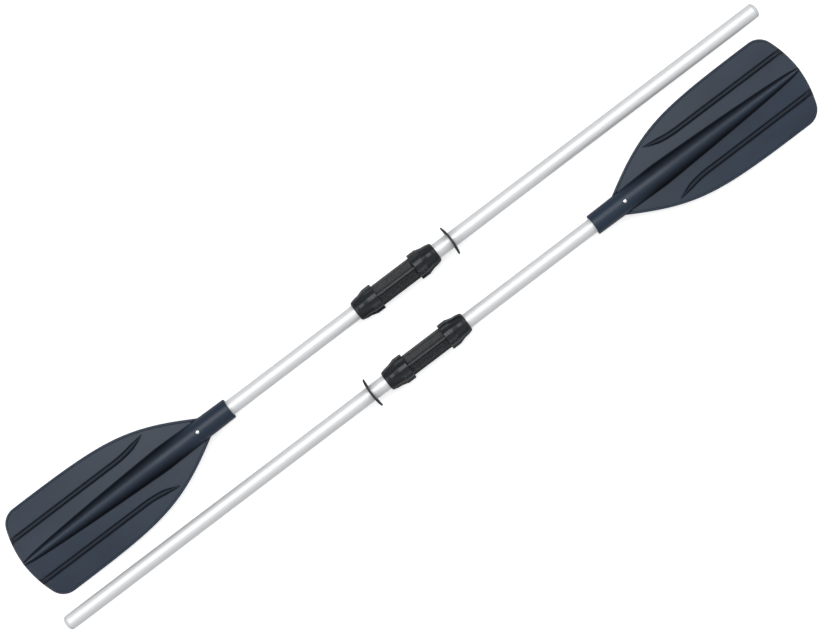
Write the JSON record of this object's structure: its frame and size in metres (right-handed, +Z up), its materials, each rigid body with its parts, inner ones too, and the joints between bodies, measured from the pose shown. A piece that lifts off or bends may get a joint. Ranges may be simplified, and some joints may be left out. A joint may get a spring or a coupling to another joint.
{
  "type": "kayak paddle",
  "caption": "Take-apart oars that join into a double-bladed kayak paddle: spined plastic blades, aluminium tubes, twin-nut clamp couplings and dished drip rings.",
  "frame": {"origin": "on the ground under the middle of the pair as it lies, halfway along the two shafts", "axes": "+X along the shafts, from half A's blade to half A's capped end; +Y from half B to half A; +Z up"},
  "size_m": [1.45, 0.2784, 0.0515],
  "materials": {
    "blade_plastic": "moulded polypropylene, slate navy, fine satin grain",
    "tube_aluminium": "satin anodised drawn tube",
    "plug_rubber": "closed-cell foam rubber",
    "button_steel": "polished stainless button",
    "spring_steel": "spring steel strip",
    "sleeve_plastic": "moulded nylon, semi-gloss black",
    "clamp_plastic": "moulded acetal, dull black",
    "nut_plastic": "moulded nylon, semi-gloss black",
    "cap_plastic": "moulded plastic, silver grey",
    "ring_rubber": "soft black rubber"
  },
  "bodies": {
    "oar_a": {"blade_a": "blade_plastic", "lower_tube_a": "tube_aluminium", "lower_tube_plug_a": "plug_rubber", "snap_spring_a": "spring_steel"},
    "button_a": {"snap_button_a": "button_steel"},
    "coupling_a": {"coupling_sleeve_a": "sleeve_plastic"},
    "lower_clamp_a": {"lower_clamp_ring_a": "clamp_plastic"},
    "lower_turn_a": {"lower_nut_a": "nut_plastic"},
    "upper_clamp_a": {"upper_clamp_ring_a": "clamp_plastic"},
    "upper_turn_a": {"upper_nut_a": "nut_plastic"},
    "handle_a": {"upper_tube_a": "tube_aluminium", "upper_tube_plug_a": "plug_rubber", "end_cap_a": "cap_plastic"},
    "ring_a": {"drip_ring_a": "ring_rubber"},
    "oar_b": {"blade_b": "blade_plastic", "lower_tube_b": "tube_aluminium", "lower_tube_plug_b": "plug_rubber", "snap_spring_b": "spring_steel"},
    "button_b": {"snap_button_b": "button_steel"},
    "coupling_b": {"coupling_sleeve_b": "sleeve_plastic"},
    "lower_clamp_b": {"lower_clamp_ring_b": "clamp_plastic"},
    "lower_turn_b": {"lower_nut_b": "nut_plastic"},
    "upper_clamp_b": {"upper_clamp_ring_b": "clamp_plastic"},
    "upper_turn_b": {"upper_nut_b": "nut_plastic"},
    "handle_b": {"upper_tube_b": "tube_aluminium", "upper_tube_plug_b": "plug_rubber", "end_cap_b": "cap_plastic"},
    "ring_b": {"drip_ring_b": "ring_rubber"}
  },
  "joints": [
    {"name": "button_press_a", "type": "slide", "parent": "oar_a", "child": "button_a", "axis": [0, 0, -1], "range_m": [0, 0.0064], "stiffness_N_per_m": 1500, "springref_m": -0.002, "deforming": ["snap_spring_a"]},
    {"name": "feather_turn_a", "type": "hinge", "parent": "oar_a", "child": "coupling_a", "pos_m": [0.014, 0.05825, 0.02575], "axis": [1, 0, 0], "continuous": true},
    {"name": "lower_clamp_slide_a", "type": "slide", "parent": "coupling_a", "child": "lower_clamp_a", "axis": [-1, 0, 0], "range_m": [0, 0.003]},
    {"name": "lower_nut_turn_a", "type": "hinge", "parent": "lower_clamp_a", "child": "lower_turn_a", "pos_m": [-0.043, 0.05825, 0.02575], "axis": [-1, 0, 0], "range_deg": [0, 360]},
    {"name": "upper_clamp_slide_a", "type": "slide", "parent": "coupling_a", "child": "upper_clamp_a", "axis": [1, 0, 0], "range_m": [0, 0.003]},
    {"name": "upper_nut_turn_a", "type": "hinge", "parent": "upper_clamp_a", "child": "upper_turn_a", "pos_m": [0.071, 0.05825, 0.02575], "axis": [1, 0, 0], "range_deg": [0, 360]},
    {"name": "handle_pull_a", "type": "slide", "parent": "coupling_a", "child": "handle_a", "axis": [1, 0, 0], "range_m": [0, 0.12]},
    {"name": "ring_slide_a", "type": "slide", "parent": "handle_a", "child": "ring_a", "axis": [1, 0, 0], "range_m": [-0.018, 0.15]},
    {"name": "oar_b_lift", "type": "slide", "parent": "oar_a", "child": "oar_b", "axis": [0, 0, 1], "range_m": [0, 0.3]},
    {"name": "button_press_b", "type": "slide", "parent": "oar_b", "child": "button_b", "axis": [0, 0, -1], "range_m": [0, 0.0064], "stiffness_N_per_m": 1500, "springref_m": -0.002, "deforming": ["snap_spring_b"]},
    {"name": "feather_turn_b", "type": "hinge", "parent": "oar_b", "child": "coupling_b", "pos_m": [-0.014, -0.05825, 0.02575], "axis": [-1, 0, 0], "continuous": true},
    {"name": "lower_clamp_slide_b", "type": "slide", "parent": "coupling_b", "child": "lower_clamp_b", "axis": [1, 0, 0], "range_m": [0, 0.003]},
    {"name": "lower_nut_turn_b", "type": "hinge", "parent": "lower_clamp_b", "child": "lower_turn_b", "pos_m": [0.043, -0.05825, 0.02575], "axis": [1, 0, 0], "range_deg": [0, 360]},
    {"name": "upper_clamp_slide_b", "type": "slide", "parent": "coupling_b", "child": "upper_clamp_b", "axis": [-1, 0, 0], "range_m": [0, 0.003]},
    {"name": "upper_nut_turn_b", "type": "hinge", "parent": "upper_clamp_b", "child": "upper_turn_b", "pos_m": [-0.071, -0.05825, 0.02575], "axis": [-1, 0, 0], "range_deg": [0, 360]},
    {"name": "handle_pull_b", "type": "slide", "parent": "coupling_b", "child": "handle_b", "axis": [-1, 0, 0], "range_m": [0, 0.12]},
    {"name": "ring_slide_b", "type": "slide", "parent": "handle_b", "child": "ring_b", "axis": [-1, 0, 0], "range_m": [-0.018, 0.15]}
  ],
  "couplings": [
    {"joint": "lower_clamp_slide_a", "follows": "lower_nut_turn_a", "m_per_rad": 0.000477},
    {"joint": "upper_clamp_slide_a", "follows": "upper_nut_turn_a", "m_per_rad": 0.000477},
    {"joint": "lower_clamp_slide_b", "follows": "lower_nut_turn_b", "m_per_rad": 0.000477},
    {"joint": "upper_clamp_slide_b", "follows": "upper_nut_turn_b", "m_per_rad": 0.000477}
  ]
}
